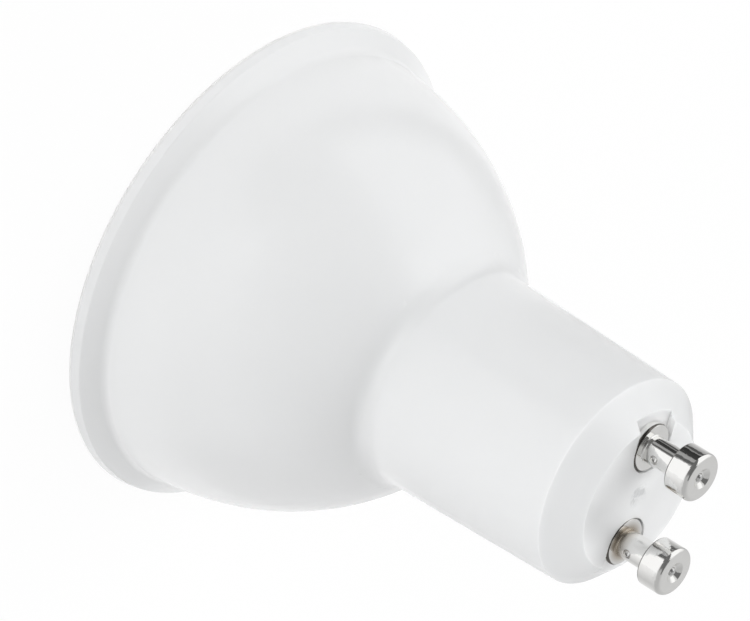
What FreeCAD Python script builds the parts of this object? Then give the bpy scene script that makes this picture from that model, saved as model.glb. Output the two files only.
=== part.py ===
import FreeCAD, Part
import math
import os
import Sketcher

# A GU10 spotlight bulb, in millimetres. It stands on its flat front cover, with the lamp's axis on Z
# and the two contact pins at the top, beside each other on X. Z 0 is the face of the cover.

document = FreeCAD.newDocument("spotlight_bulb")
sheet = document.addObject("Spreadsheet::Sheet", "sizes")

DRIVING_SIZES = [
    # front cover: a milky plate with a lip that lies on the housing's rim
    ("cover_inset", 0.1),
    ("cover_lip", 0.36),
    ("cover_front_round", 0.24),
    ("cover_plug_depth", 1.2),
    ("cover_side_gap", 0.1),
    ("cover_floor_gap", 0.1),
    # housing: rim band, cone behind it, bowl, neck, chamfer and end face
    ("rim_diameter", 50.0),
    ("rim_wall", 2.3),
    ("rim_draft", 0.18),
    ("rim_band", 0.98),
    ("rim_cone_width", 1.89),
    ("rim_cone_height", 1.54),
    ("rim_edge_round", 0.08),
    ("bowl_radius", 30.46),
    ("bowl_height", 22.32),
    ("neck_root_fillet", 3.0),
    ("neck_height", 21.44),
    ("neck_taper", 0.65),
    ("end_chamfer_width", 3.06),
    ("end_chamfer_height", 2.8),
    ("end_face_margin", 0.15),
    ("end_edge_round", 0.35),
    ("gate_dish_radius", 4.0),
    ("gate_dish_depth", 0.16),
    # contact pins: tail in the housing, flange in a pocket of the end face, shank, head and hollow tip
    ("pin_spacing", 10.0),
    ("pin_pocket_depth", 0.8),
    ("pin_pocket_gap", 0.1),
    ("pin_tail_diameter", 2.4),
    ("pin_tail_length", 3.2),
    ("pin_tail_gap", 0.02),
    ("pin_hole_spare_depth", 0.2),
    ("pin_flange_diameter", 4.9),
    ("pin_flange_thickness", 0.62),
    ("pin_flange_round", 0.1),
    ("pin_foot_round", 0.1),
    ("pin_shank_diameter", 2.78),
    ("pin_shank_length", 3.73),
    ("pin_head_diameter", 4.9),
    ("pin_head_length", 2.55),
    ("pin_head_back_round", 0.14),
    ("pin_head_tip_round", 0.5),
    ("pin_recess_diameter", 2.2),
    ("pin_recess_depth", 0.4),
    ("pin_recess_round", 0.2),
    ("crimp_radius", 0.45),
    ("crimp_height", 1.53),
    # lead wires: one crimped in each pin, with its end in the recess of the tip
    ("wire_diameter", 0.84),
    ("wire_gap", 0.02),
    ("wire_below_tip", 0.12),
    ("wire_end_round", 0.3),
]
for row, (alias, value) in enumerate(DRIVING_SIZES, start=1):
    sheet.set(f"A{row}", alias)
    sheet.set(f"B{row}", str(value))
    sheet.setAlias(f"B{row}", alias)
document.recompute()


class Size:
    """A length from the sheet, or one worked out of several: its value and the expression that keeps it."""

    def __init__(self, value, expression):
        self.value = value
        self.expression = expression

    def __add__(self, other):
        return Size(self.value + other.value, f"({self.expression} + {other.expression})")

    def __sub__(self, other):
        return Size(self.value - other.value, f"({self.expression} - {other.expression})")

    def __neg__(self):
        return Size(-self.value, f"-{self.expression}")

    def half(self):
        return Size(self.value / 2, f"({self.expression} / 2)")


def size(alias):
    return Size(float(sheet.get(alias)), f"sizes.{alias}")


NONE = Size(0.0, "0 mm")
FULL_TURN = 360
SAME_PLACE = 1e-4


def origin_plane(body, role):
    return next(plane for plane in body.Origin.OriginFeatures if plane.Role == role)


def sketch_on(body, name, role):
    sketch = body.newObject("Sketcher::SketchObject", name)
    sketch.AttachmentSupport = [(origin_plane(body, role), "")]
    sketch.MapMode = "FlatFace"
    return sketch


def tie(sketch, kind, place, length):
    """Adds a constraint of that kind and binds it to the sheet."""
    index = sketch.addConstraint(Sketcher.Constraint(kind, *place, length.value))
    sketch.setExpression(f"Constraints[{index}]", length.expression)


def turn(body, name, corners, arcs=None):
    """Revolves a closed outline about the body's Z axis.

    Each corner is (radius, height). A run between two corners is straight, or an arc that bulges
    outwards with the radius that arcs gives for the number of the corner where it starts.
    """
    arcs = arcs or {}
    sketch = sketch_on(body, name + "_outline", "XZ_Plane")
    points = [FreeCAD.Vector(radius.value, height.value, 0) for radius, height in corners]
    starts, ends = [], []
    for number, start in enumerate(points):
        end = points[(number + 1) % len(points)]
        if number in arcs:
            run, first, last = outward_arc(start, end, arcs[number].value)
        else:
            run, first, last = Part.LineSegment(start, end), 1, 2
        geometry = sketch.addGeometry(run, False)
        starts.append((geometry, first))
        ends.append((geometry, last))
    for number, (radius, height) in enumerate(corners):
        sketch.addConstraint(Sketcher.Constraint("Coincident", *ends[number - 1], *starts[number]))
        tie(sketch, "DistanceX", (-1, 1, *starts[number]), radius)
        tie(sketch, "DistanceY", (-1, 1, *starts[number]), height)
        if number in arcs:
            tie(sketch, "Radius", (starts[number][0],), arcs[number])
    feature = body.newObject("PartDesign::Revolution", name)
    feature.Profile = sketch
    feature.ReferenceAxis = (sketch, ["V_Axis"])
    feature.Angle = FULL_TURN
    document.recompute()
    return feature


def outward_arc(start, end, radius):
    """The arc between two points of an outline, bulging to the outer side, and the numbers of its ends."""
    middle = (start + end) / 2
    chord = end - start
    inward = FreeCAD.Vector(-chord.y, chord.x, 0).normalize()
    depth = (radius**2 - (chord.Length / 2) ** 2) ** 0.5
    centre = middle + inward * depth
    crown = centre - inward * radius
    arc = Part.Arc(start, crown, end)
    starts_first = arc.toShape().Vertexes[0].Point.isEqual(start, SAME_PLACE)
    return arc, *((1, 2) if starts_first else (2, 1))


def round_edges(body, name, places, radius):
    """Rounds the circular edges about the body's Z axis that lie at the given (radius, height) places."""
    base = body.Tip
    found = []
    for edge_radius, height in places:
        for number, edge in enumerate(base.Shape.Edges, start=1):
            if not isinstance(edge.Curve, Part.Circle):
                continue
            off_radius = abs(edge.Curve.Radius - edge_radius.value)
            off_height = abs(edge.Curve.Center.z - height.value)
            if max(off_radius, off_height) < SAME_PLACE:
                found.append(f"Edge{number}")
    if len(found) != len(places):
        raise RuntimeError(f"{body.Label}: {name} found the edges {found} for {len(places)} places")
    fillet = body.newObject("PartDesign::Fillet", name)
    fillet.Base = (base, found)
    fillet.setExpression("Radius", radius.expression)
    document.recompute()
    return fillet


def scoop(body, name, radius, across, height):
    """Cuts a ball out of the body. Its centre lies at that distance across, on Y, and at that height."""
    before = body.Shape.Volume
    ball = body.newObject("PartDesign::SubtractiveSphere", name)
    ball.setExpression("Radius", radius.expression)
    ball.setExpression("Placement.Base.y", across.expression)
    ball.setExpression("Placement.Base.z", height.expression)
    document.recompute()
    if not body.Shape.Volume < before:
        raise RuntimeError(f"{body.Label}: {name} cuts nothing")
    return ball


def new_body(label):
    body = document.addObject("PartDesign::Body", label)
    body.Label = label
    return body


# heights and radii that several pieces share
rim_front = size("cover_lip")
rim_back = rim_front + size("rim_band")
bowl_foot = rim_back + size("rim_cone_height")
neck_root = bowl_foot + size("bowl_height")
neck_end = neck_root + size("neck_height")
end_face = neck_end + size("end_chamfer_height")
pin_seat = end_face - size("pin_pocket_depth")
tail_end = pin_seat - size("pin_tail_length")
flange_top = pin_seat + size("pin_flange_thickness")
shank_end = flange_top + size("pin_shank_length")
pin_tip = shank_end + size("pin_head_length")
rim = size("rim_diameter").half()
mouth = rim - size("rim_wall")
plug_end = rim_front + size("cover_plug_depth")
pin_across = size("pin_spacing").half()
flange = size("pin_flange_diameter").half()
wire_radius = size("wire_diameter").half()


def front_cover():
    """The milky plate at the front, moulded with a lip at its edge and a plug that centres it in the rim."""
    body = new_body("front_cover")
    lip = rim - size("cover_inset")
    plug = mouth - size("cover_side_gap")
    turn(
        body,
        "plate",
        [(NONE, NONE), (lip, NONE), (lip, rim_front), (plug, rim_front), (plug, plug_end), (NONE, plug_end)],
    )
    round_edges(body, "front_edge", [(lip, NONE)], size("cover_front_round"))
    return body


def housing():
    """The sealed white body: a rim that takes the cover, a bowl, a tapered neck and an end that takes the pins."""
    body = new_body("housing")
    mouth_floor = plug_end + size("cover_floor_gap")
    rim_waist = rim - size("rim_draft")
    cone_foot = rim_waist - size("rim_cone_width")
    end_edge = pin_across + flange + size("end_face_margin")
    neck_tail = end_edge + size("end_chamfer_width")
    neck_top = neck_tail + size("neck_taper")
    turn(
        body,
        "shell",
        [
            (NONE, mouth_floor),
            (mouth, mouth_floor),
            (mouth, rim_front),
            (rim, rim_front),
            (rim_waist, rim_back),
            (cone_foot, bowl_foot),
            (neck_top, neck_root),
            (neck_tail, neck_end),
            (end_edge, end_face),
            (NONE, end_face),
        ],
        arcs={5: size("bowl_radius")},
    )
    round_edges(body, "neck_root_round", [(neck_top, neck_root)], size("neck_root_fillet"))
    round_edges(body, "end_rounds", [(neck_tail, neck_end), (end_edge, end_face)], size("end_edge_round"))
    round_edges(body, "rim_rounds", [(rim, rim_front), (rim_waist, rim_back)], size("rim_edge_round"))
    gate_centre = end_face + size("gate_dish_radius") - size("gate_dish_depth")
    scoop(body, "gate_dish", size("gate_dish_radius"), NONE, gate_centre)
    pin_pockets(body, neck_tail)
    pin_holes(body)
    return body


def pin_pockets(body, reach):
    """Cuts the two U-shaped pockets that the pins' flanges lie in. They open to the side, through the chamfer."""
    before = body.Shape.Volume
    sketch = sketch_on(body, "pin_pocket_outlines", "XY_Plane")
    sketch.setExpression("AttachmentOffset.Base.z", end_face.expression)
    half_width = flange + size("pin_pocket_gap")
    for across, outside, turned in ((-pin_across, -reach, -90), (pin_across, reach, 90)):
        up = half_width.value if turned < 0 else -half_width.value
        circle = Part.Circle(FreeCAD.Vector(across.value, 0, 0), FreeCAD.Vector(0, 0, 1), half_width.value)
        inner_end = Part.ArcOfCircle(circle, math.radians(turned), math.radians(turned + 180))
        corners = [
            FreeCAD.Vector(across.value, up, 0),
            FreeCAD.Vector(outside.value, up, 0),
            FreeCAD.Vector(outside.value, -up, 0),
            FreeCAD.Vector(across.value, -up, 0),
        ]
        arc = sketch.addGeometry(inner_end, False)
        first, mouth_line, last = (
            sketch.addGeometry(Part.LineSegment(start, end), False) for start, end in zip(corners, corners[1:])
        )
        sketch.addConstraint(Sketcher.Constraint("Tangent", arc, 2, first, 1))
        sketch.addConstraint(Sketcher.Constraint("Coincident", first, 2, mouth_line, 1))
        sketch.addConstraint(Sketcher.Constraint("Coincident", mouth_line, 2, last, 1))
        sketch.addConstraint(Sketcher.Constraint("Tangent", last, 2, arc, 1))
        sketch.addConstraint(Sketcher.Constraint("Horizontal", first))
        sketch.addConstraint(Sketcher.Constraint("Vertical", mouth_line))
        sketch.addConstraint(Sketcher.Constraint("PointOnObject", arc, 3, -1))
        tie(sketch, "Radius", (arc,), half_width)
        tie(sketch, "DistanceX", (-1, 1, arc, 3), across)
        tie(sketch, "DistanceX", (-1, 1, mouth_line, 1), outside)
    pocket = body.newObject("PartDesign::Pocket", "pin_pockets")
    pocket.Profile = sketch
    pocket.setExpression("Length", size("pin_pocket_depth").expression)
    document.recompute()
    if not body.Shape.Volume < before:
        raise RuntimeError("the pin pockets cut nothing")


def pin_holes(body):
    """Cuts the two blind holes that the tails of the contact pins are pressed into."""
    before = body.Shape.Volume
    sketch = sketch_on(body, "pin_hole_circles", "XY_Plane")
    sketch.setExpression("AttachmentOffset.Base.z", end_face.expression)
    radius = size("pin_tail_diameter").half() + size("pin_tail_gap")
    for across in (-pin_across, pin_across):
        centre = FreeCAD.Vector(across.value, 0, 0)
        circle = sketch.addGeometry(Part.Circle(centre, FreeCAD.Vector(0, 0, 1), radius.value), False)
        tie(sketch, "Radius", (circle,), radius)
        tie(sketch, "DistanceX", (-1, 1, circle, 3), across)
        sketch.addConstraint(Sketcher.Constraint("PointOnObject", circle, 3, -1))
    pocket = body.newObject("PartDesign::Pocket", "pin_holes")
    pocket.Profile = sketch
    depth = size("pin_pocket_depth") + size("pin_tail_length") + size("pin_hole_spare_depth")
    pocket.setExpression("Length", depth.expression)
    document.recompute()
    if not body.Shape.Volume < before:
        raise RuntimeError("the pin holes cut nothing")


def stand_on_pin_axis(body, across):
    body.setExpression("Placement.Base.x", across.expression)


def contact_pin(label, across):
    """A hollow turned pin. Its tail is pressed into the housing, and its shank is crimped on the wire."""
    body = new_body(label)
    bore = wire_radius + size("wire_gap")
    tail = size("pin_tail_diameter").half()
    shank = size("pin_shank_diameter").half()
    head = size("pin_head_diameter").half()
    recess = size("pin_recess_diameter").half()
    turn(
        body,
        "turned_pin",
        [
            (bore, tail_end),
            (tail, tail_end),
            (tail, pin_seat),
            (flange, pin_seat),
            (flange, flange_top),
            (shank, flange_top),
            (shank, shank_end),
            (head, shank_end),
            (head, pin_tip),
            (recess, pin_tip),
            (bore, pin_tip - size("pin_recess_depth")),
        ],
    )
    round_edges(body, "flange_edge", [(flange, flange_top)], size("pin_flange_round"))
    round_edges(body, "foot_round", [(shank, flange_top)], size("pin_foot_round"))
    round_edges(body, "head_back_edge", [(head, shank_end)], size("pin_head_back_round"))
    round_edges(body, "head_tip_edge", [(head, pin_tip)], size("pin_head_tip_round"))
    round_edges(body, "recess_edge", [(recess, pin_tip)], size("pin_recess_round"))
    crimp = flange_top + size("crimp_height")
    scoop(body, "front_crimp", size("crimp_radius"), -shank, crimp)
    scoop(body, "rear_crimp", size("crimp_radius"), shank, crimp)
    stand_on_pin_axis(body, across)
    return body


def lead_wire(label, across):
    """The tinned wire that comes up through a pin. Its rounded end shows in the recess of the tip."""
    body = new_body(label)
    wire_end = pin_tip - size("wire_below_tip")
    turn(
        body,
        "wire",
        [(NONE, tail_end), (wire_radius, tail_end), (wire_radius, wire_end), (NONE, wire_end)],
    )
    round_edges(body, "wire_end_edge", [(wire_radius, wire_end)], size("wire_end_round"))
    stand_on_pin_axis(body, across)
    return body


pieces = [front_cover(), housing()]
for side, across in (("left", -pin_across), ("right", pin_across)):
    pieces.append(contact_pin(side + "_contact_pin", across))
    pieces.append(lead_wire(side + "_lead_wire", across))
document.recompute()

for item in document.Objects:
    if "Invalid" in item.State or "Error" in item.State:
        raise RuntimeError(f"{item.Label} failed: {item.State}")
for piece in pieces:
    if piece.Shape.isNull() or not piece.Shape.isValid() or len(piece.Shape.Solids) != 1:
        raise RuntimeError(f"{piece.Label} is not one valid solid")

os.makedirs("parts", exist_ok=True)
for piece in pieces:
    piece.Shape.exportStep(f"parts/{piece.Label}.step")
    print(piece.Label, round(piece.Shape.Volume, 2), "mm3")
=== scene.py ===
import math

import bmesh
import bpy
from mathutils import Matrix, Quaternion, Vector


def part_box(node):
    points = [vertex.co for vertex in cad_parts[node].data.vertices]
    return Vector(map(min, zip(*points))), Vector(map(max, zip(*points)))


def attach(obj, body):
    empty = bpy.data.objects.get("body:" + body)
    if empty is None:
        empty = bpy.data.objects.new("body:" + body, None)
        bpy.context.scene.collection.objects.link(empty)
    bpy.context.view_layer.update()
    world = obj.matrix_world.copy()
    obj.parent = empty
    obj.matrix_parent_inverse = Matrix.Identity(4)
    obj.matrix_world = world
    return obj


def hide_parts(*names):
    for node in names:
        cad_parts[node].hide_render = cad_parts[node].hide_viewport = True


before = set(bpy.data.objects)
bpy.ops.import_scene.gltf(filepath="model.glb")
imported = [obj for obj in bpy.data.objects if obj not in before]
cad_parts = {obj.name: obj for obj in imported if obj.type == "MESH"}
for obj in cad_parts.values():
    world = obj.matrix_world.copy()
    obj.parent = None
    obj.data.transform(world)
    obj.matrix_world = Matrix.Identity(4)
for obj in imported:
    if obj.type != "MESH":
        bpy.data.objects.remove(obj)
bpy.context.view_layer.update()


# Housing. The lamp's white body is one glossy plastic moulding: a drafted rim, a cone, the bowl, a tapered
# neck and a chamfered end, with a pocket for each pin and the mark of the gate where the plastic was let in.
# The pins are pressed into a hole in each pocket, and the front cover sits in the mouth.
MM = 0.001
housing_low, housing_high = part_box("housing")
RIM_RADIUS = housing_high.x
RIM_DRAFT = 0.18 * MM
RIM_BAND = 0.98 * MM
RIM_FRONT_ROUND = 0.08 * MM
RIM_BACK_ROUND = 0.25 * MM
CONE_WIDTH = 1.89 * MM
CONE_HEIGHT = 1.54 * MM
MOUTH_WALL = 2.3 * MM
MOUTH_DEPTH = 1.3 * MM
BOWL_ARC = 30.46 * MM
BOWL_HEIGHT = 22.32 * MM
FOOT_FILLET = 1.3 * MM
ROOT_FILLET = 3.0 * MM
NECK_TAPER = 0.65 * MM
CHAMFER_WIDTH = 3.06 * MM
CHAMFER_HEIGHT = 2.8 * MM
END_RADIUS = 7.6 * MM
NECK_EDGE_ROUND = 0.25 * MM
END_EDGE_ROUND = 0.15 * MM
GATE_DISH_ARC = 4.0 * MM
GATE_DISH_DEPTH = 0.16 * MM
POCKET_DEPTH = 0.8 * MM
POCKET_GAP = 0.1 * MM
PIN_HOLE_RADIUS = 1.22 * MM
PIN_HOLE_DEPTH = 4.2 * MM
HOUSING_SEGMENTS = 360
FOOT_STEPS = 10
BOWL_STEPS = 56
ROOT_STEPS = 14
GATE_STEPS = 12
POCKET_STEPS = 48
HOLE_SEGMENTS = 64
HOUSING_WHITE = (0.795, 0.80, 0.803, 1.0)
HOUSING_WHITE_DEEP = (0.78, 0.788, 0.793, 1.0)
# Painted light: the paler colour painted on the pockets' floors against the shade that falls in them.
POCKET_PAINTED_LIGHT = (0.95, 0.95, 0.95, 1.0)
GATE_GREY = (0.55, 0.56, 0.57, 1.0)
CLOUD_SIZE = 14 * MM
GLOSS_SIZE = 3 * MM
WAVE_SIZE = 5 * MM
WAVE_DEPTH = 0.004 * MM
SATIN_SIZE = 0.25 * MM
SATIN_DEPTH = 0.0002 * MM
TEAR_SIZE = 1.4 * MM
TEAR_DEPTH = 0.3 * MM
PLASTIC_IOR = 1.56
SCATTER_DEPTH = 0.8 * MM

rim_front = housing_low.z
rim_back = rim_front + RIM_BAND
bowl_foot = rim_back + CONE_HEIGHT
neck_root = bowl_foot + BOWL_HEIGHT
end_face = housing_high.z
neck_end = end_face - CHAMFER_HEIGHT
waist_radius = RIM_RADIUS - RIM_DRAFT
foot_radius = waist_radius - CONE_WIDTH
neck_end_radius = END_RADIUS + CHAMFER_WIDTH
pin_seat = end_face - POCKET_DEPTH
mouth_radius = RIM_RADIUS - MOUTH_WALL


def arc(centre, radius, start, stop, steps):
    """Points of an arc in the outline's plane, between two angles from the radius axis."""
    angles = [start + (stop - start) * i / steps for i in range(steps + 1)]
    return [centre + radius * Vector((math.cos(a), math.sin(a))) for a in angles]


def outline(*corners):
    """A turned outline through (radius, height) corners. A third number rounds that corner."""
    points = []
    for i, corner in enumerate(corners):
        here = Vector(corner[:2])
        if len(corner) < 3:
            points.append(here)
            continue
        back = (Vector(corners[i - 1][:2]) - here).normalized()
        on = (Vector(corners[i + 1][:2]) - here).normalized()
        half = back.angle(on) / 2
        centre = here + (back + on).normalized() * (corner[2] / math.sin(half))
        first = here + back * (corner[2] / math.tan(half)) - centre
        last = here + on * (corner[2] / math.tan(half)) - centre
        steps = 3 + round((math.pi - 2 * half) / math.radians(9))
        turn = -first.angle_signed(last)
        start = math.atan2(first.y, first.x)
        points += arc(centre, corner[2], start, start + turn, steps)
    return points


def turned(name, points, segments):
    """A closed mesh object: the outline of (radius, height) points turned about the vertical axis."""
    mesh = bpy.data.meshes.new(name)
    form = bmesh.new()
    rings = []
    for point in points:
        if point.x < 1e-9:
            rings.append([form.verts.new((0, 0, point.y))] * segments)
            continue
        angles = [2 * math.pi * i / segments for i in range(segments)]
        places = [(point.x * math.cos(a), point.x * math.sin(a), point.y) for a in angles]
        rings.append([form.verts.new(place) for place in places])
    for lower, upper in zip(rings, rings[1:]):
        for i in range(segments):
            j = (i + 1) % segments
            corners = [lower[i], lower[j], upper[j], upper[i]]
            form.faces.new(list(dict.fromkeys(corners)))
    bmesh.ops.recalc_face_normals(form, faces=form.faces)
    form.to_mesh(mesh)
    form.free()
    piece = bpy.data.objects.new(name, mesh)
    bpy.context.scene.collection.objects.link(piece)
    return piece


def cut(piece, cutters):
    """Takes the cutters' forms out of the piece and throws the cutters away."""
    for cutter in cutters:
        hole = piece.modifiers.new(cutter.name, "BOOLEAN")
        hole.object = cutter
        hole.solver = "EXACT"
    view = bpy.context.evaluated_depsgraph_get()
    shaped = bpy.data.meshes.new_from_object(piece.evaluated_get(view))
    piece.modifiers.clear()
    piece.data = shaped
    for cutter in cutters:
        bpy.data.objects.remove(cutter)


def smooth(piece, crease=math.radians(32)):
    """Smooth shading that breaks at creases and keeps the broad faces flat."""
    piece.data.shade_smooth()
    piece.data.set_sharp_from_angle(angle=crease)
    even = piece.modifiers.new("even_shading", "WEIGHTED_NORMAL")
    even.keep_sharp = True


def finish(name):
    """A new material, its shader and the object-space place that its grain follows."""
    material = bpy.data.materials.new(name)
    material.use_nodes = True
    shader = material.node_tree.nodes["Principled BSDF"]
    place = material.node_tree.nodes.new("ShaderNodeTexCoord").outputs["Object"]
    return material, shader, place


def grain(material, place, size, detail=2.0):
    """Noise with features of about the given size."""
    noise = material.node_tree.nodes.new("ShaderNodeTexNoise")
    noise.inputs["Scale"].default_value = 1.0 / size
    noise.inputs["Detail"].default_value = detail
    material.node_tree.links.new(place, noise.inputs["Vector"])
    return noise.outputs["Fac"]


def spread(material, factor, low, high, start=0.3, stop=0.7):
    """A factor mapped from start..stop to the range low..high."""
    ranged = material.node_tree.nodes.new("ShaderNodeMapRange")
    for socket, value in (("From Min", start), ("From Max", stop), ("To Min", low), ("To Max", high)):
        ranged.inputs[socket].default_value = value
    material.node_tree.links.new(factor, ranged.inputs["Value"])
    return ranged.outputs["Result"]


def tint(material, factor, first, second):
    """A colour that goes from the first, which may be a node's result, to the second with the factor."""
    mix = material.node_tree.nodes.new("ShaderNodeMix")
    mix.data_type = "RGBA"
    material.node_tree.links.new(factor, mix.inputs["Factor"])
    if isinstance(first, tuple):
        mix.inputs["A"].default_value = first
    else:
        material.node_tree.links.new(first, mix.inputs["A"])
    mix.inputs["B"].default_value = second
    return mix.outputs["Result"]


def relief(material, shader, height, depth, under=None):
    """Bump of the given depth in metres, on top of an earlier bump if there is one."""
    bump = material.node_tree.nodes.new("ShaderNodeBump")
    bump.inputs["Strength"].default_value = 1.0
    bump.inputs["Distance"].default_value = depth
    material.node_tree.links.new(height, bump.inputs["Height"])
    if under:
        material.node_tree.links.new(under, bump.inputs["Normal"])
    material.node_tree.links.new(bump.outputs["Normal"], shader.inputs["Normal"])
    return bump.outputs["Normal"]


def step(owner, operation, first, second):
    """One sum in a material or in the world's light. Each value is a number or another node's result."""
    sum_node = owner.node_tree.nodes.new("ShaderNodeMath")
    sum_node.operation = operation
    for socket, value in zip(sum_node.inputs, (first, second)):
        if isinstance(value, (int, float)):
            socket.default_value = value
        else:
            owner.node_tree.links.new(value, socket)
    return sum_node.outputs[0]


def from_axis(material, place):
    """The distance of a place from the piece's own axis, how far back it lies, and its height."""
    nodes, links = material.node_tree.nodes, material.node_tree.links
    parts = nodes.new("ShaderNodeSeparateXYZ")
    links.new(place, parts.inputs[0])
    flat = nodes.new("ShaderNodeCombineXYZ")
    links.new(parts.outputs["X"], flat.inputs["X"])
    links.new(parts.outputs["Y"], flat.inputs["Y"])
    radius = nodes.new("ShaderNodeVectorMath")
    radius.operation = "LENGTH"
    links.new(flat.outputs[0], radius.inputs[0])
    return radius.outputs["Value"], parts.outputs["Y"], parts.outputs["Z"]


def pocket_tool(name, centre_x, half_width, reach):
    """A U-shaped block to cut a pin's pocket with. Its inner end is round, and it comes out at the side."""
    outward = math.copysign(1.0, centre_x)
    inner_end = arc(Vector((0, 0)), half_width, -math.pi / 2, math.pi / 2, POCKET_STEPS)
    corners = [(centre_x - outward * point.x, point.y) for point in inner_end]
    corners += [(outward * reach, half_width), (outward * reach, -half_width)]
    mesh = bpy.data.meshes.new(name)
    form = bmesh.new()
    base = form.faces.new([form.verts.new((x, y, pin_seat)) for x, y in corners])
    raised = bmesh.ops.extrude_face_region(form, geom=[base])["geom"]
    top = [item for item in raised if isinstance(item, bmesh.types.BMVert)]
    bmesh.ops.translate(form, vec=(0, 0, POCKET_DEPTH + MM), verts=top)
    bmesh.ops.recalc_face_normals(form, faces=form.faces)
    form.to_mesh(mesh)
    form.free()
    piece = bpy.data.objects.new(name, mesh)
    bpy.context.scene.collection.objects.link(piece)
    return piece


def neck_radius(height):
    """The neck's radius at a height: it tapers evenly from its root to the chamfer."""
    return neck_end_radius + NECK_TAPER * (neck_end - height) / (neck_end - neck_root)


bowl_start = Vector((foot_radius, bowl_foot))
bowl_stop = Vector((neck_radius(neck_root), neck_root))
chord = bowl_stop - bowl_start
inward = Vector((-chord.y, chord.x)).normalized()
bowl_centre = (bowl_start + bowl_stop) / 2 + inward * math.sqrt(BOWL_ARC**2 - chord.length_squared / 4)
fillet_out = neck_radius(neck_root + ROOT_FILLET / 2) + ROOT_FILLET
fillet_reach = BOWL_ARC + ROOT_FILLET
fillet_rise = math.sqrt(fillet_reach**2 - (fillet_out - bowl_centre.x) ** 2)
fillet_centre = Vector((fillet_out, bowl_centre.y + fillet_rise))
cone_way = Vector((-CONE_WIDTH, CONE_HEIGHT)).normalized()
cone_out = Vector((CONE_HEIGHT, CONE_WIDTH)).normalized()
beside_cone = bowl_start + cone_out * FOOT_FILLET - bowl_centre
along_cone = beside_cone.dot(cone_way)
foot_reach = BOWL_ARC + FOOT_FILLET
back_off = math.sqrt(along_cone**2 + foot_reach**2 - beside_cone.length_squared) + along_cone
foot_centre = bowl_centre + beside_cone - cone_way * back_off
foot_angle = math.atan2(foot_centre.y - bowl_centre.y, foot_centre.x - bowl_centre.x)
cone_angle = math.atan2(-cone_out.y, -cone_out.x)
foot_points = arc(foot_centre, FOOT_FILLET, cone_angle, foot_angle - math.pi, FOOT_STEPS)
fillet_angle = math.atan2(fillet_rise, fillet_out - bowl_centre.x)
bowl_points = arc(bowl_centre, BOWL_ARC, foot_angle, fillet_angle, BOWL_STEPS)
fillet_points = arc(fillet_centre, ROOT_FILLET, fillet_angle - math.pi, -math.pi, ROOT_STEPS)
gate_centre = Vector((0, end_face + GATE_DISH_ARC - GATE_DISH_DEPTH))
gate_angle = math.acos((GATE_DISH_ARC - GATE_DISH_DEPTH) / GATE_DISH_ARC)
gate_radius = GATE_DISH_ARC * math.sin(gate_angle)
gate_points = arc(gate_centre, GATE_DISH_ARC, gate_angle - math.pi / 2, -math.pi / 2, GATE_STEPS)
housing = turned(
    "moulded_housing",
    outline(
        (0, rim_front + MOUTH_DEPTH),
        (mouth_radius, rim_front + MOUTH_DEPTH),
        (mouth_radius, rim_front),
        (RIM_RADIUS, rim_front, RIM_FRONT_ROUND),
        (waist_radius, rim_back, RIM_BACK_ROUND),
        *foot_points,
        *bowl_points,
        *fillet_points,
        (neck_end_radius, neck_end, NECK_EDGE_ROUND),
        (END_RADIUS, end_face, END_EDGE_ROUND),
        *gate_points,
    ),
    HOUSING_SEGMENTS,
)
holes = []
for side in ("left", "right"):
    pin_low, pin_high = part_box(side + "_contact_pin")
    axis_x = (pin_low.x + pin_high.x) / 2
    pocket_half = (pin_high.x - pin_low.x) / 2 + POCKET_GAP
    holes.append(pocket_tool(side + "_pin_pocket", axis_x, pocket_half, neck_end_radius))
    hole = turned(
        side + "_pin_hole",
        outline(
            (0, end_face - PIN_HOLE_DEPTH),
            (PIN_HOLE_RADIUS, end_face - PIN_HOLE_DEPTH),
            (PIN_HOLE_RADIUS, end_face + MM),
            (0, end_face + MM),
        ),
        HOLE_SEGMENTS,
    )
    hole.location.x = axis_x
    holes.append(hole)
bpy.context.view_layer.update()
cut(housing, holes)
smooth(housing)

white_plastic, shader, place = finish("white_plastic")
links = white_plastic.node_tree.links
axis_distance, back, height = from_axis(white_plastic, place)
# The pockets' floors are painted lighter than the body (0.95 against 0.80): painted light that lifts the
# shade falling in them.
below_end = spread(white_plastic, height, 1.0, 0.0, pin_seat + 0.2 * MM, end_face - 0.2 * MM)
above_seat = spread(white_plastic, height, 0.0, 1.0, pin_seat - 0.05 * MM, pin_seat - 0.02 * MM)
aside = step(white_plastic, "ABSOLUTE", back, 0.0)
between = spread(white_plastic, aside, 1.0, 0.0, pocket_half + 0.01 * MM, pocket_half + 0.05 * MM)
inside = spread(white_plastic, axis_distance, 1.0, 0.0, END_RADIUS - 0.5 * MM, END_RADIUS + 0.5 * MM)
off_gate = spread(white_plastic, axis_distance, 0.0, 1.0, gate_radius + 0.3 * MM, gate_radius + 0.6 * MM)
painted_pocket_light = below_end
for limit in (above_seat, between, inside, off_gate):
    painted_pocket_light = step(white_plastic, "MULTIPLY", painted_pocket_light, limit)
gate = spread(white_plastic, axis_distance, 1.0, 0.0, gate_radius - 0.3 * MM, gate_radius + 0.2 * MM)
ragged = spread(white_plastic, grain(white_plastic, place, TEAR_SIZE), -0.5, 0.5, 0.25, 0.75)
torn = step(white_plastic, "MULTIPLY", ragged, gate)
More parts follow.
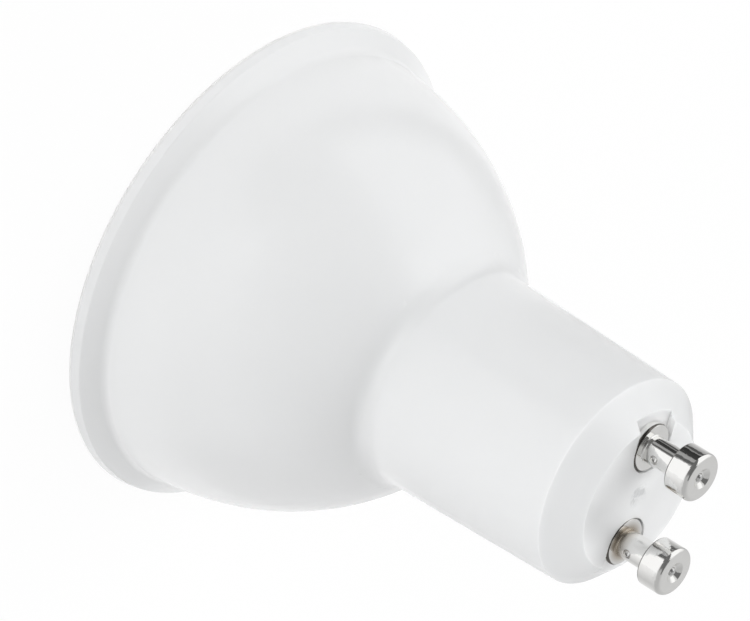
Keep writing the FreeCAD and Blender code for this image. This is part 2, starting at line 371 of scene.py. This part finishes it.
# The gate's dish is greyed in ragged patches, on the raised parts of its torn relief.
gate_grey_patches = spread(white_plastic, torn, 0.0, 0.7, 0.0, 0.12)
white = tint(white_plastic, grain(white_plastic, place, CLOUD_SIZE), HOUSING_WHITE, HOUSING_WHITE_DEEP)
white = tint(white_plastic, painted_pocket_light, white, POCKET_PAINTED_LIGHT)
links.new(tint(white_plastic, gate_grey_patches, white, GATE_GREY), shader.inputs["Base Color"])
gloss = spread(white_plastic, grain(white_plastic, place, GLOSS_SIZE), 0.2, 0.26)
links.new(gloss, shader.inputs["Roughness"])
shader.inputs["IOR"].default_value = PLASTIC_IOR
links.new(spread(white_plastic, height, 0.0, 1.0, bowl_foot, neck_root), shader.inputs["Subsurface Weight"])
shader.inputs["Subsurface Radius"].default_value = (1.0, 1.0, 1.0)
shader.inputs["Subsurface Scale"].default_value = SCATTER_DEPTH
wavy = relief(white_plastic, shader, grain(white_plastic, place, WAVE_SIZE), WAVE_DEPTH)
satin = relief(white_plastic, shader, grain(white_plastic, place, SATIN_SIZE), SATIN_DEPTH, wavy)
relief(white_plastic, shader, torn, TEAR_DEPTH, satin)
housing.data.materials.append(white_plastic)
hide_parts("housing")
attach(housing, "root")


# Contact pins. Two hollow pins, turned from brass and nickel plated, with a thick flange in the housing's
# pocket, a plain shank, a wide head and a countersunk tip. Their tails are pressed into the housing, and two
# dents in each shank crimp it on its wire. The right pin was tanned by heat.
TAIL_RADIUS = 1.2 * MM
FLANGE_THICKNESS = 0.76 * MM
FLANGE_ROUND = 0.25 * MM
SHANK_FILLET = 0.2 * MM
SHANK_RADIUS = 1.39 * MM
SHANK_LENGTH = 3.59 * MM
HEAD_RADIUS = 2.45 * MM
HEAD_BACK_ROUND = 0.14 * MM
HEAD_TIP_ROUND = 0.5 * MM
RECESS_RADIUS = 1.1 * MM
RECESS_FLOOR = 0.6 * MM
RECESS_DEPTH = 0.4 * MM
RECESS_ROUND = 0.2 * MM
BORE_RADIUS = 0.44 * MM
CRIMP_RADIUS = 0.45 * MM
CRIMP_HEIGHT = 1.35 * MM
CRIMP_TURN = math.radians(8)
PIN_SEGMENTS = 192
NICKEL = (0.95, 0.947, 0.93, 1.0)
NICKEL_SHADE = (0.92, 0.915, 0.90, 1.0)
HEAT_TAN = (0.42, 0.36, 0.28, 1.0)
# Painted shade and dark reflection for the dark lines at the pins' flange rims and head edges.
EDGE_PAINTED_SHADE = (0.16, 0.15, 0.14, 1.0)
PLATE_CLOUD = 0.9 * MM
RING_SIZE = 0.12 * MM
RING_DEPTH = 0.0006 * MM
DENT_SIZE = 1.2 * MM
DENT_DEPTH = 0.04 * MM
HEAT_REACH = 1.4 * MM
PAINTED_SHADE_WIDE = 0.18 * MM
PAINTED_SHADE_THIN = 0.03 * MM


def nickel_plate(name, heated, flange_radius, flange_top, head_back):
    """Bright nickel with fine turning rings and a dented head, with painted shade and dark reflection along
    the flange's rim and the head's back edge. A heated pin is tanned.
    """
    material, shader, place = finish(name)
    nodes, links = material.node_tree.nodes, material.node_tree.links
    axis_distance, back, height = from_axis(material, place)
    section = nodes.new("ShaderNodeCombineXYZ")
    links.new(axis_distance, section.inputs["X"])
    links.new(height, section.inputs["Z"])
    rings = grain(material, section.outputs[0], RING_SIZE, detail=4.0)
    colour = tint(material, grain(material, place, PLATE_CLOUD), NICKEL, NICKEL_SHADE)
    roughness = spread(material, rings, 0.05, 0.11)
    if heated:
        low = spread(material, height, 1.0, 0.0, flange_top, flange_top + HEAT_REACH)
        inner = spread(material, axis_distance, 1.0, 0.0, SHANK_RADIUS, flange_radius - 0.2 * MM)
        heat = step(material, "MULTIPLY", low, inner)
        colour = tint(material, heat, colour, HEAT_TAN)
        roughness = spread(material, heat, 0.1, 0.26, 0.0, 1.0)
    # Painted shade and dark reflection: a dark line at the head's back edge and one round the flange's rim,
    # wider on the flange's front (-Y) side.
    on_head = spread(material, height, 0.0, 1.0, head_back - 0.05 * MM, head_back - 0.02 * MM)
    off_head = step(material, "SUBTRACT", 1.0, on_head)
    rear = spread(material, height, 1.0, 0.0, head_back + 0.08 * MM, head_back + 0.18 * MM)
    head_line = step(material, "MULTIPLY", on_head, rear)
    width = spread(material, back, PAINTED_SHADE_WIDE, PAINTED_SHADE_THIN, -1.6 * MM, 0.0)
    reach = step(material, "ADD", axis_distance, width)
    outer = spread(material, reach, 0.0, 1.0, flange_radius - 0.06 * MM, flange_radius)
    round_start = flange_top - FLANGE_ROUND
    upper = spread(material, height, 0.0, 1.0, round_start - 0.04 * MM, round_start)
    flange_line = step(material, "MULTIPLY", step(material, "MULTIPLY", outer, upper), off_head)
    painted_edge_shade = step(material, "MAXIMUM", head_line, flange_line)
    links.new(tint(material, painted_edge_shade, colour, EDGE_PAINTED_SHADE), shader.inputs["Base Color"])
    links.new(roughness, shader.inputs["Roughness"])
    shader.inputs["Metallic"].default_value = 1.0
    knocked = spread(material, on_head, 0.3, 1.0, 0.0, 1.0)
    dents = step(material, "MULTIPLY", grain(material, place, DENT_SIZE), knocked)
    dented = relief(material, shader, dents, DENT_DEPTH)
    relief(material, shader, rings, RING_DEPTH, dented)
    return material


def ball(name, radius, centre):
    """A round-nosed crimping tool, to cut a dent with."""
    mesh = bpy.data.meshes.new(name)
    form = bmesh.new()
    place = Matrix.Translation(centre)
    bmesh.ops.create_uvsphere(form, u_segments=48, v_segments=32, radius=radius, matrix=place)
    form.to_mesh(mesh)
    form.free()
    piece = bpy.data.objects.new(name, mesh)
    bpy.context.scene.collection.objects.link(piece)
    return piece


for side in ("left", "right"):
    pin_low, pin_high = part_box(side + "_contact_pin")
    axis_x = (pin_low.x + pin_high.x) / 2
    flange_radius = (pin_high.x - pin_low.x) / 2
    flange_top = pin_seat + FLANGE_THICKNESS
    head_back = flange_top + SHANK_LENGTH
    pin_tip = pin_high.z
    pin = turned(
        side + "_turned_pin",
        outline(
            (BORE_RADIUS, pin_tip - RECESS_DEPTH),
            (BORE_RADIUS, pin_low.z),
            (TAIL_RADIUS, pin_low.z),
            (TAIL_RADIUS, pin_seat),
            (flange_radius, pin_seat),
            (flange_radius, flange_top, FLANGE_ROUND),
            (SHANK_RADIUS, flange_top, SHANK_FILLET),
            (SHANK_RADIUS, head_back),
            (HEAD_RADIUS, head_back, HEAD_BACK_ROUND),
            (HEAD_RADIUS, pin_tip, HEAD_TIP_ROUND),
            (RECESS_RADIUS, pin_tip, RECESS_ROUND),
            (RECESS_FLOOR, pin_tip - RECESS_DEPTH, RECESS_ROUND),
            (BORE_RADIUS, pin_tip - RECESS_DEPTH),
        ),
        PIN_SEGMENTS,
    )
    crimp_lift = Vector((0, 0, end_face + CRIMP_HEIGHT))
    crimps = []
    for face in (-1, 1):
        across = Vector((math.sin(CRIMP_TURN), -math.cos(CRIMP_TURN), 0)) * face * SHANK_RADIUS
        crimps.append(ball(side + "_crimp", CRIMP_RADIUS, across + crimp_lift))
    cut(pin, crimps)
    smooth(pin)
    pin.location.x = axis_x
    plate = nickel_plate(side + "_nickel", side == "right", flange_radius, flange_top, head_back)
    pin.data.materials.append(plate)
    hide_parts(side + "_contact_pin")
    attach(pin, "root")


# Lead wires. A tinned copper wire comes up through each hollow pin. It was cropped and peened at the tip,
# so its rounded end shows as a small bright nub in the countersink.
WIRE_RADIUS = 0.42 * MM
WIRE_END_ROUND = 0.3 * MM
WIRE_SEGMENTS = 96
TIN = (0.78, 0.78, 0.77, 1.0)
TIN_DULL = (0.60, 0.60, 0.60, 1.0)

tinned, shader, place = finish("tinned_wire")
links = tinned.node_tree.links
links.new(tint(tinned, grain(tinned, place, 0.3 * MM), TIN, TIN_DULL), shader.inputs["Base Color"])
links.new(spread(tinned, grain(tinned, place, 0.2 * MM), 0.12, 0.25), shader.inputs["Roughness"])
shader.inputs["Metallic"].default_value = 1.0
relief(tinned, shader, grain(tinned, place, 0.35 * MM), 0.03 * MM)
for side in ("left", "right"):
    wire_low, wire_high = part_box(side + "_lead_wire")
    wire = turned(
        side + "_tinned_wire",
        outline(
            (0, wire_low.z),
            (WIRE_RADIUS, wire_low.z),
            (WIRE_RADIUS, wire_high.z, WIRE_END_ROUND),
            (0, wire_high.z),
        ),
        WIRE_SEGMENTS,
    )
    smooth(wire)
    wire.location.x = (wire_low.x + wire_high.x) / 2
    wire.data.materials.append(tinned)
    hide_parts(side + "_lead_wire")
    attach(wire, "root")


# Front cover. A milky diffuser plate, moulded in one piece: its lip lies on the rim and its plug centres it
# in the mouth, where it snaps in. From behind only the lip's pale edge shows, below a fine parting line.
cover_low, cover_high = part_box("front_cover")
COVER_RADIUS = cover_high.x
COVER_FRONT_ROUND = 0.24 * MM
COVER_BACK_ROUND = 0.06 * MM
COVER_SIDE_GAP = 0.1 * MM
MILK = (0.90, 0.90, 0.89, 1.0)
MILK_DEEP = (0.87, 0.875, 0.87, 1.0)

plug_radius = mouth_radius - COVER_SIDE_GAP
cover = turned(
    "milky_front_cover",
    outline(
        (0, cover_low.z),
        (COVER_RADIUS, cover_low.z, COVER_FRONT_ROUND),
        (COVER_RADIUS, rim_front, COVER_BACK_ROUND),
        (plug_radius, rim_front),
        (plug_radius, cover_high.z),
        (0, cover_high.z),
    ),
    HOUSING_SEGMENTS,
)
smooth(cover)
milky, shader, place = finish("milky_cover")
links = milky.node_tree.links
links.new(tint(milky, grain(milky, place, 8 * MM), MILK, MILK_DEEP), shader.inputs["Base Color"])
links.new(spread(milky, grain(milky, place, 1.5 * MM), 0.32, 0.42), shader.inputs["Roughness"])
shader.inputs["Subsurface Weight"].default_value = 0.3
shader.inputs["Subsurface Radius"].default_value = (1.0, 1.0, 1.0)
shader.inputs["Subsurface Scale"].default_value = 1.5 * MM
relief(milky, shader, grain(milky, place, 0.15 * MM), 0.001 * MM)
cover.data.materials.append(milky)
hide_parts("front_cover")
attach(cover, "root")


# Studio floor. A seamless sheet of white paper that the lamp stands on, front down. Seen directly or in the
# metal it is nearly white by itself, and it still takes the lamp's soft shadow.
FLOOR_HALF = 3.0
FLOOR_DROP = 0.02 * MM
FLOOR_WHITE = (0.95, 0.95, 0.95, 1.0)
FLOOR_GLOW_SHARE = 0.93

mesh = bpy.data.meshes.new("paper_floor")
form = bmesh.new()
bmesh.ops.create_grid(form, x_segments=1, y_segments=1, size=FLOOR_HALF)
form.to_mesh(mesh)
form.free()
floor = bpy.data.objects.new("paper_floor", mesh)
floor.location.z = cover_low.z - FLOOR_DROP
bpy.context.scene.collection.objects.link(floor)
paper = bpy.data.materials.new("white_paper")
paper.use_nodes = True
nodes, links = paper.node_tree.nodes, paper.node_tree.links
nodes.remove(nodes["Principled BSDF"])
matt = nodes.new("ShaderNodeBsdfDiffuse")
matt.inputs["Color"].default_value = FLOOR_WHITE
glow = nodes.new("ShaderNodeEmission")
ray = nodes.new("ShaderNodeLightPath")
seen = step(paper, "MAXIMUM", ray.outputs["Is Camera Ray"], ray.outputs["Is Glossy Ray"])
seen = step(paper, "MAXIMUM", seen, ray.outputs["Is Transmission Ray"])
sheet = nodes.new("ShaderNodeMixShader")
links.new(step(paper, "MULTIPLY", seen, FLOOR_GLOW_SHARE), sheet.inputs["Fac"])
links.new(matt.outputs[0], sheet.inputs[1])
links.new(glow.outputs[0], sheet.inputs[2])
links.new(sheet.outputs[0], nodes["Material Output"].inputs["Surface"])
paper.cycles.emission_sampling = "NONE"
floor.data.materials.append(paper)


# Studio light. The lamp stands in a tent of white cloth that glows along the horizon and is dark overhead.
# Four panels of it are lit: a broad one low in front, one at the side and two behind the lamp.
TENT_WHITE = (1.0, 1.0, 1.0, 1.0)
TENT_GLOW = 0.83
TENT_GLOW_FALL = 1.1
TENT_PANELS = (
    {"azimuth": 245.0, "elevation": -14.0, "focus": 3.7, "strength": 2.89},
    {"azimuth": 124.0, "elevation": 62.0, "focus": 14.0, "strength": 4.6},
    {"azimuth": 50.0, "elevation": 25.0, "focus": 28.0, "strength": 4.3},
    {"azimuth": 329.0, "elevation": 10.0, "focus": 16.0, "strength": 1.9},
)


def around(azimuth, elevation):
    """The direction at an azimuth from +X and an elevation, both in degrees."""
    turn, rise = math.radians(azimuth), math.radians(elevation)
    return Vector((math.cos(turn) * math.cos(rise), math.sin(turn) * math.cos(rise), math.sin(rise)))


world = bpy.data.worlds.new("light_tent")
world.use_nodes = True
bpy.context.scene.world = world
nodes, links = world.node_tree.nodes, world.node_tree.links
ray_direction = nodes.new("ShaderNodeTexCoord").outputs["Generated"]


def facing(direction):
    """How far the ray points in a direction: 1 straight along it, 0 at right angles or behind."""
    along = nodes.new("ShaderNodeVectorMath")
    along.operation = "DOT_PRODUCT"
    along.inputs[1].default_value = direction
    links.new(ray_direction, along.inputs[0])
    return step(world, "MAXIMUM", along.outputs["Value"], 0.0)


level = step(world, "SUBTRACT", 1.0, facing(Vector((0, 0, 1))))
brightness = step(world, "MULTIPLY", step(world, "POWER", level, TENT_GLOW_FALL), TENT_GLOW)
for panel in TENT_PANELS:
    towards = facing(around(panel["azimuth"], panel["elevation"]))
    lit = step(world, "MULTIPLY", step(world, "POWER", towards, panel["focus"]), panel["strength"])
    brightness = step(world, "ADD", brightness, lit)
nodes["Background"].inputs["Color"].default_value = TENT_WHITE
links.new(brightness, nodes["Background"].inputs["Strength"])
bpy.context.scene.view_settings.view_transform = "Standard"


# Studio cards. Grey and black cards lie on the floor round the lamp and stand round it like the walls of a
# dim room, all out of the picture. Only glossy surfaces show them, as grey tones and dark lines in the metal.
CARD_NEAR = 62.0 * MM
CARD_MIDDLE = 125.0 * MM
CARD_LIFT = 0.2 * MM
WALL_DISTANCE = 500.0 * MM
WALL_HEIGHT = 900.0 * MM
CARD_STEP = 3.0
LOW_WALL_DISTANCE = 490.0 * MM
LOW_WALL_HEIGHT = 150.0 * MM
SKYLIGHT_RADIUS = 300.0 * MM
NEAR_FLOOR_CARDS = (
    {"from": 284.0, "to": 346.0, "tones": (0.92, 0.57)},
    {"from": 346.0, "to": 418.0, "tones": (0.57, 0.88)},
    {"from": 64.0, "to": 128.0, "tones": (0.88, 0.34)},
)
FAR_FLOOR_CARDS = (
    {"from": 284.0, "to": 346.0, "tones": (0.75, 0.58)},
    {"from": 346.0, "to": 420.0, "tones": (0.56, 0.6)},
    {"from": 60.0, "to": 128.0, "tones": (0.5, 0.38)},
)
SIDE_CARD = {"from": 128.0, "to": 220.0, "tones": (0.2, 0.4)}
BLACK_STRIPS = (
    {"from": 130.0, "to": 146.0, "tones": (0.08, 0.08)},
    {"from": 154.0, "to": 183.0, "tones": (0.03, 0.05)},
    {"from": 201.0, "to": 215.0, "tones": (0.1, 0.12)},
)
LOW_WALL = {"from": 226.0, "to": 312.0, "tones": (0.85, 0.62)}
WALLS = (
    {"from": 176.0, "to": 250.0, "tones": (0.12, 0.16)},
    {"from": 250.0, "to": 276.0, "tones": (0.16, 0.47)},
    {"from": 276.0, "to": 345.0, "tones": (0.47, 0.46)},
    {"from": 345.0, "to": 420.0, "tones": (0.46, 0.6)},
    {"from": 60.0, "to": 100.0, "tones": (0.6, 0.6)},
    {"from": 100.0, "to": 120.0, "tones": (0.6, 1.0)},
    {"from": 120.0, "to": 176.0, "tones": (1.0, 1.0)},
)
CEILINGS = (
    {"from": 95.0, "to": 180.0, "tones": (0.85, 0.6)},
    {"from": 180.0, "to": 250.0, "tones": (0.12, 0.12)},
    {"from": 250.0, "to": 276.0, "tones": (0.12, 0.45)},
    {"from": 276.0, "to": 455.0, "tones": (0.45, 0.55)},
)
ZENITH = {"from": 0.0, "to": 360.0, "tones": (0.14, 0.14)}

grey_card = bpy.data.materials.new("grey_card")
grey_card.use_nodes = True
nodes, links = grey_card.node_tree.nodes, grey_card.node_tree.links
nodes.remove(nodes["Principled BSDF"])
shine = nodes.new("ShaderNodeEmission")
tone_of_card = nodes.new("ShaderNodeAttribute")
tone_of_card.attribute_name = "tone"
links.new(tone_of_card.outputs["Fac"], shine.inputs["Strength"])
links.new(shine.outputs[0], nodes["Material Output"].inputs["Surface"])
grey_card.cycles.emission_sampling = "NONE"
pin_axis = Vector((sum(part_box("left_contact_pin"), Vector()).x / 2, 0, floor.location.z))


def card(name, bend, near, far):
    """A bent card between two edges round the left pin, each given by its distance and height."""
    steps = math.ceil((bend["to"] - bend["from"]) / CARD_STEP)
    shares = [i / steps for i in range(steps + 1)]
    ways = [around(bend["from"] + (bend["to"] - bend["from"]) * share, 0) for share in shares]
    mesh = bpy.data.meshes.new(name)
    form = bmesh.new()
    tone = form.verts.layers.float.new("tone")
    rows = []
    for distance, height in (near, far):
        row = [form.verts.new(pin_axis + way * distance + Vector((0, 0, height))) for way in ways]
        for vert, share in zip(row, shares):
            vert[tone] = bend["tones"][0] + (bend["tones"][1] - bend["tones"][0]) * share
        rows.append(row)
    for i in range(steps):
        form.faces.new((rows[0][i], rows[1][i], rows[1][i + 1], rows[0][i + 1]))
    form.to_mesh(mesh)
    form.free()
    piece = bpy.data.objects.new(name, mesh)
    bpy.context.scene.collection.objects.link(piece)
    piece.data.materials.append(grey_card)
    piece.visible_camera = False
    piece.visible_diffuse = False
    piece.visible_shadow = False


for number, bend in enumerate(NEAR_FLOOR_CARDS, 1):
    card(f"near_floor_card_{number}", bend, (CARD_NEAR, CARD_LIFT), (CARD_MIDDLE, CARD_LIFT))
for number, bend in enumerate(FAR_FLOOR_CARDS, 1):
    card(f"far_floor_card_{number}", bend, (CARD_MIDDLE, CARD_LIFT), (WALL_DISTANCE, CARD_LIFT))
card("side_floor_card", SIDE_CARD, (CARD_NEAR, CARD_LIFT), (WALL_DISTANCE, CARD_LIFT))
for number, bend in enumerate(BLACK_STRIPS, 1):
    card(f"black_strip_{number}", bend, (CARD_NEAR, 2 * CARD_LIFT), (WALL_DISTANCE, 2 * CARD_LIFT))
card("low_wall", LOW_WALL, (LOW_WALL_DISTANCE, CARD_LIFT), (LOW_WALL_DISTANCE, LOW_WALL_HEIGHT))
for number, bend in enumerate(WALLS, 1):
    card(f"room_wall_{number}", bend, (WALL_DISTANCE, CARD_LIFT), (WALL_DISTANCE, WALL_HEIGHT))
for number, bend in enumerate(CEILINGS, 1):
    card(f"room_ceiling_{number}", bend, (WALL_DISTANCE, WALL_HEIGHT), (SKYLIGHT_RADIUS, WALL_HEIGHT))
card("room_zenith", ZENITH, (SKYLIGHT_RADIUS, WALL_HEIGHT), (MM, WALL_HEIGHT))


# Camera. A long lens that looks down on the lamp from its crimped side, rolled so that the lamp's pins point
# to the lower right of the picture.
CAMERA_AIM = Vector((-1.47, 0.86, 14.72)) * MM
CAMERA_DISTANCE = 661.8 * MM
CAMERA_AZIMUTH = math.radians(-30.32)
CAMERA_ELEVATION = math.radians(31.52)
CAMERA_ROLL = math.radians(121.77)
CAMERA_LENS = 336.0
CAMERA_SENSOR = 36.0

back = Vector(
    (
        math.sin(CAMERA_AZIMUTH) * math.cos(CAMERA_ELEVATION),
        -math.cos(CAMERA_AZIMUTH) * math.cos(CAMERA_ELEVATION),
        math.sin(CAMERA_ELEVATION),
    )
)
camera = bpy.data.objects.new("camera", bpy.data.cameras.new("camera"))
bpy.context.scene.collection.objects.link(camera)
camera.data.lens = CAMERA_LENS
camera.data.sensor_width = CAMERA_SENSOR
camera.data.clip_start = 0.01
camera.data.clip_end = 100.0
camera.location = CAMERA_AIM + back * CAMERA_DISTANCE
camera.rotation_mode = "QUATERNION"
camera.rotation_quaternion = (-back).to_track_quat("-Z", "Y") @ Quaternion((0, 0, 1), CAMERA_ROLL)
bpy.context.scene.camera = camera
